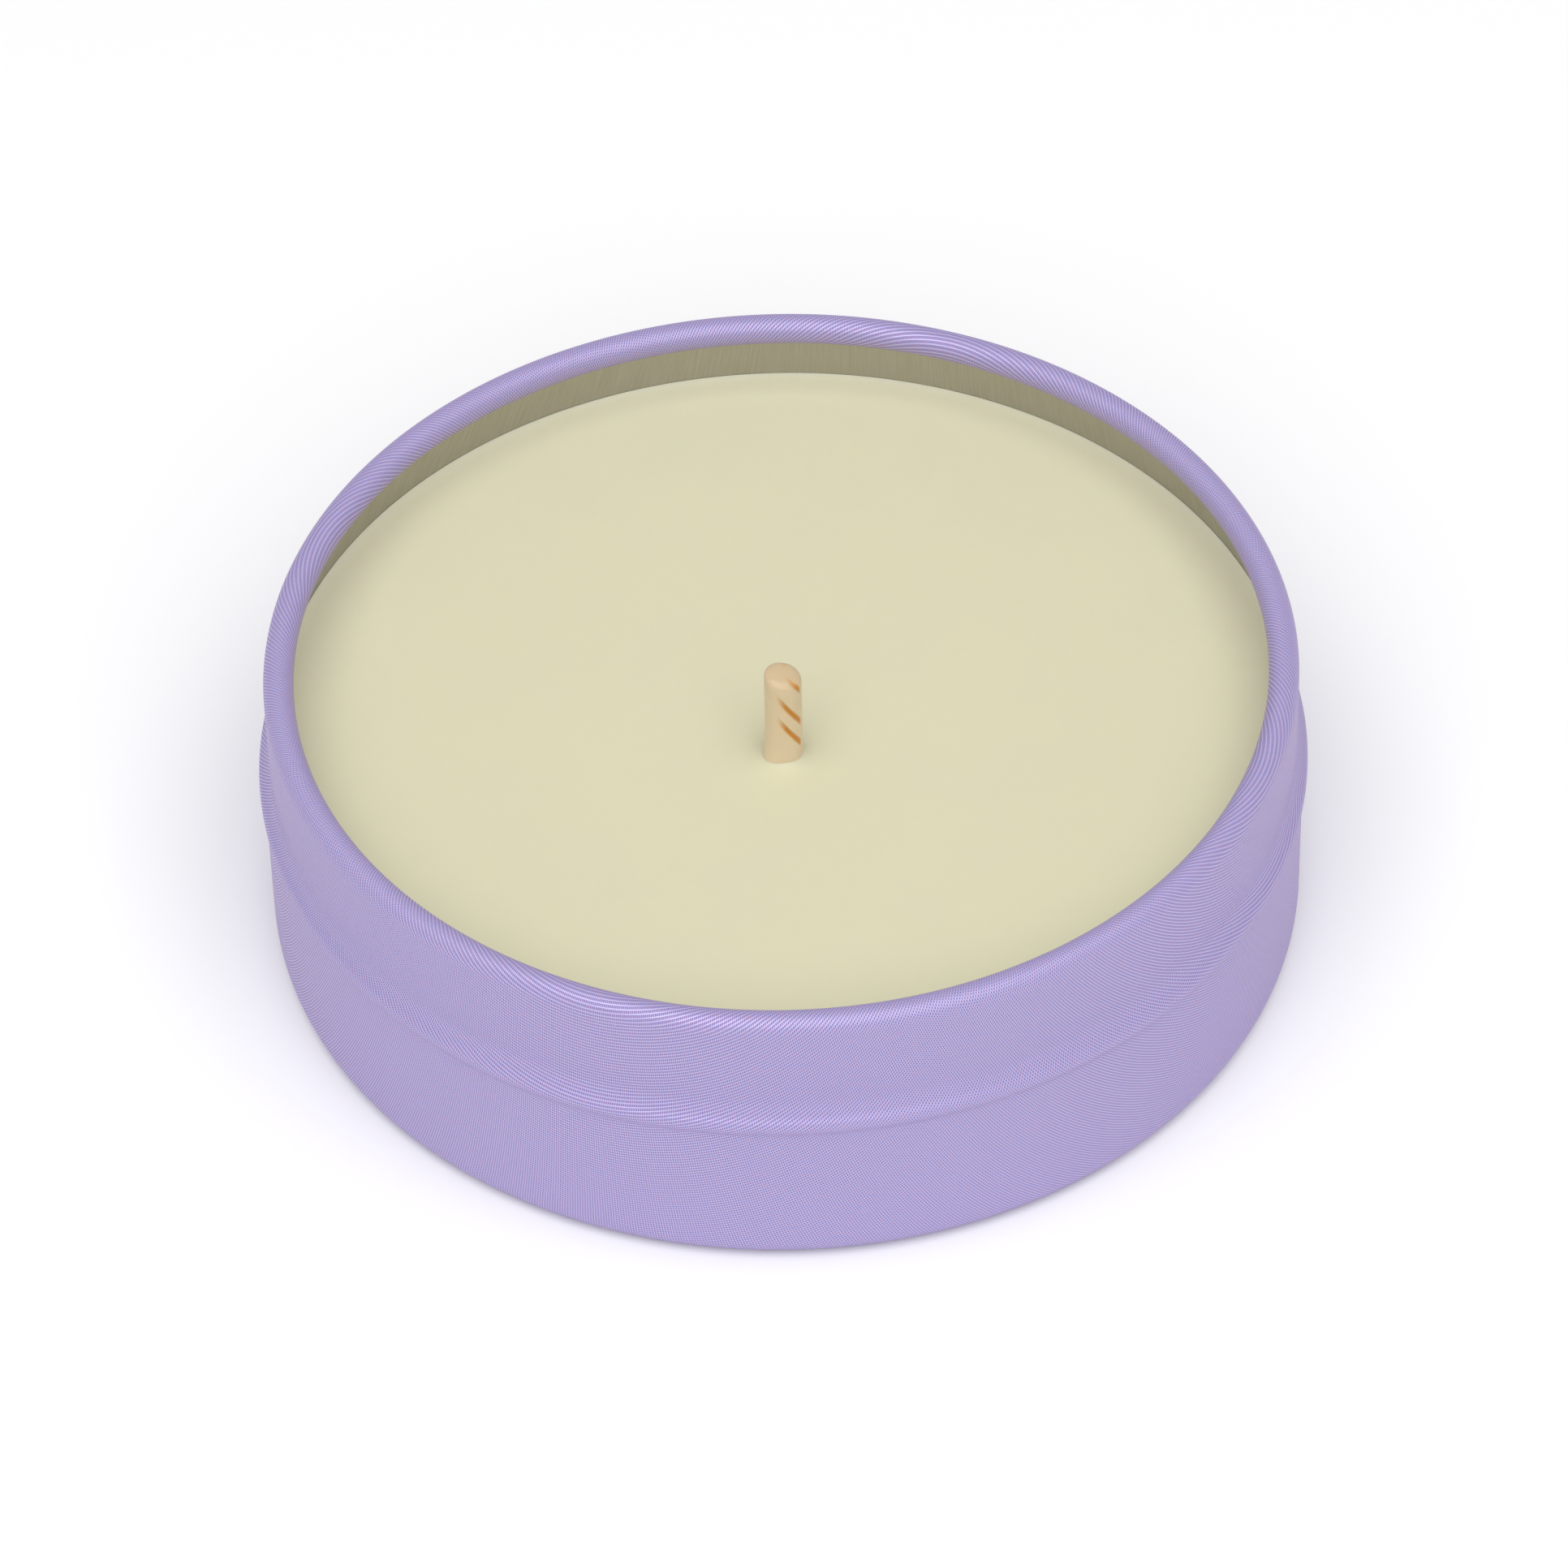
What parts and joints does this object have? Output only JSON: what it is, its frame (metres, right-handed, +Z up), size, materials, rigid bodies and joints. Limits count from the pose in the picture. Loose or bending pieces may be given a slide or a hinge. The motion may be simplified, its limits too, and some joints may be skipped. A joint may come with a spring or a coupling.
{
  "type": "candle tin",
  "caption": "Shallow round metal tin filled with poured wax, with a rolled rim, a lid-stop bead round the wall and a trimmed plaited wick.",
  "frame": {"origin": "centre of the ring that the tin stands on, on the tin's own axis", "axes": "+Z up out of the open top along the tin's axis; the wick stands 3.9 mm from that axis towards -Y"},
  "size_m": [0.0768, 0.0768, 0.0252],
  "materials": {
    "lacquered_tinplate": "satin lavender lacquer outside and over the rolled rim, bare metal inside",
    "poured_wax": "smooth cream wax with a soft sheen",
    "waxed_cotton": "wax-coated plaited cotton, amber in the grooves",
    "stamped_steel": "bright stamped sheet",
    "foam": "white foam with adhesive on both faces"
  },
  "bodies": {
    "root": {"tin_body": "lacquered_tinplate", "wax_fill": "poured_wax", "wick_strand_1": "waxed_cotton", "wick_strand_2": "waxed_cotton", "wick_strand_3": "waxed_cotton", "wick_tab": "stamped_steel", "wick_sticker": "foam"}
  },
  "joints": []
}
